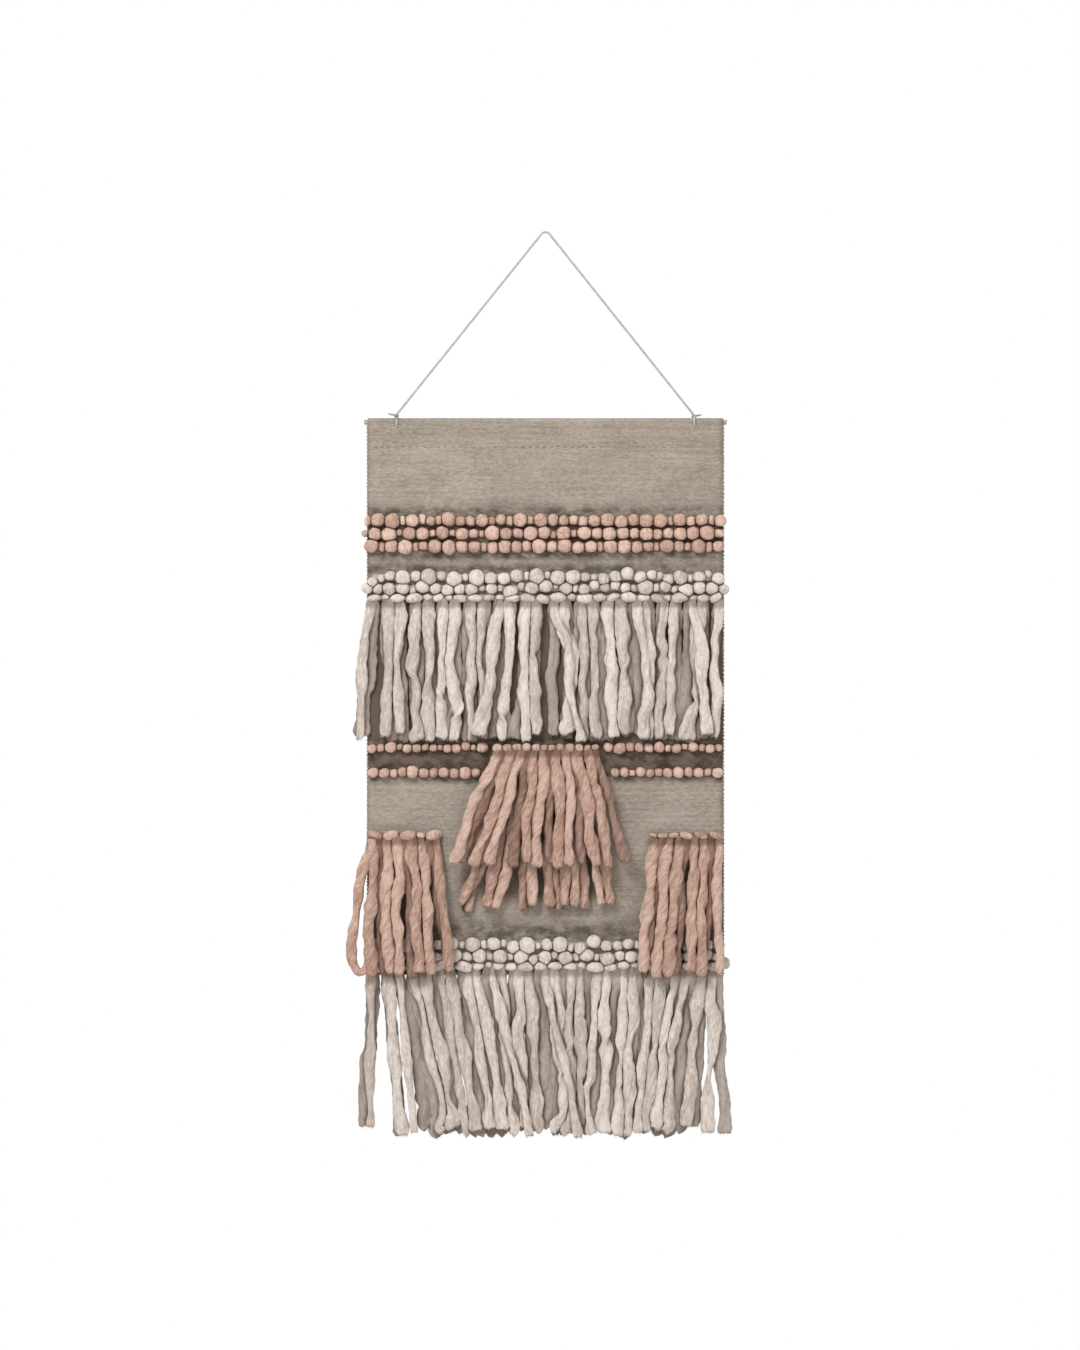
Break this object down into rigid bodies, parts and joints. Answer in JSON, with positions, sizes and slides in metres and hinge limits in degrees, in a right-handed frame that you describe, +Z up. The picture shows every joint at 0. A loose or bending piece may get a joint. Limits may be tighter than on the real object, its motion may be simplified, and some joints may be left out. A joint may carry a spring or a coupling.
{
  "type": "tapestry wall hanging",
  "caption": "Woven wall hanging on a hidden dowel and twisted cord, with rows of raised yarn loops, two cream fringes and blush yarn tassels.",
  "frame": {"origin": "underside of the hanging cord at its apex, where it sits on the wall hook", "axes": "+Z up, front towards -Y, the wall is on the +Y side, +X to the right seen from the front"},
  "size_m": [0.4632, 0.0483, 1.1536],
  "materials": {
    "cord_cotton": "matte twisted",
    "dowel_wood": "raw, sanded",
    "ground_cloth": "matte, ribbed weave",
    "hem_thread": "matte",
    "blush_wool": "matte, felted roving",
    "cream_wool": "matte, felted roving"
  },
  "bodies": {
    "cord": {"hanging_cord": "cord_cotton", "left_cord_loop": "cord_cotton", "right_cord_loop": "cord_cotton", "left_cord_knot": "cord_cotton", "right_cord_knot": "cord_cotton"},
    "panel": {"dowel": "dowel_wood", "ground_cloth": "ground_cloth", "hem_stitching": "hem_thread", "left_selvedge": "ground_cloth", "right_selvedge": "ground_cloth", "blush_loop_row_1": "blush_wool", "blush_loop_row_2": "blush_wool", "blush_loop_row_3": "blush_wool", "cream_loop_row_1": "cream_wool", "cream_loop_row_2": "cream_wool", "upper_fringe_knots": "cream_wool", "blush_loop_row_4": "blush_wool", "blush_loop_row_5": "blush_wool", "centre_tassel_upper_knots": "blush_wool", "centre_tassel_lower_knots": "blush_wool", "left_tassel_knots": "blush_wool", "right_tassel_knots": "blush_wool", "cream_loop_row_3": "cream_wool", "cream_loop_row_4": "cream_wool", "bottom_fringe_knots": "cream_wool"},
    "upper_fringe": {"upper_fringe_front_strands": "cream_wool", "upper_fringe_back_strands": "cream_wool"},
    "centre_tassel_upper": {"centre_tassel_upper_strands": "blush_wool"},
    "centre_tassel_lower": {"centre_tassel_lower_strands": "blush_wool"},
    "left_tassel": {"left_tassel_strands": "blush_wool"},
    "right_tassel": {"right_tassel_strands": "blush_wool"},
    "bottom_fringe": {"bottom_fringe_front_strands": "cream_wool", "bottom_fringe_back_strands": "cream_wool"}
  },
  "joints": [
    {"name": "panel_swing", "type": "hinge", "parent": "cord", "child": "panel", "pos_m": [0, 0, -0.2412], "axis": [-1, 0, 0], "range_deg": [-78, 78]},
    {"name": "upper_fringe_lift", "type": "hinge", "parent": "panel", "child": "upper_fringe", "pos_m": [0, -0.0076, -0.4759], "axis": [-1, 0, 0], "range_deg": [0, 80]},
    {"name": "centre_tassel_lift", "type": "hinge", "parent": "panel", "child": "centre_tassel_upper", "pos_m": [0, -0.01671, -0.6658], "axis": [-1, 0, 0], "range_deg": [0, 80]},
    {"name": "centre_tassel_lower_lift", "type": "hinge", "parent": "panel", "child": "centre_tassel_lower", "pos_m": [0, -0.0065, -0.6977], "axis": [-1, 0, 0], "range_deg": [0, 80]},
    {"name": "left_tassel_lift", "type": "hinge", "parent": "panel", "child": "left_tassel", "pos_m": [0, -0.0071, -0.7783], "axis": [-1, 0, 0], "range_deg": [0, 80]},
    {"name": "right_tassel_lift", "type": "hinge", "parent": "panel", "child": "right_tassel", "pos_m": [0, -0.0071, -0.7783], "axis": [-1, 0, 0], "range_deg": [0, 80]},
    {"name": "bottom_fringe_lift", "type": "hinge", "parent": "panel", "child": "bottom_fringe", "pos_m": [0, -0.0075, -0.9456], "axis": [-1, 0, 0], "range_deg": [0, 38]}
  ],
  "couplings": [
    {"joint": "centre_tassel_lower_lift", "follows": "centre_tassel_lift", "ratio": 1}
  ]
}
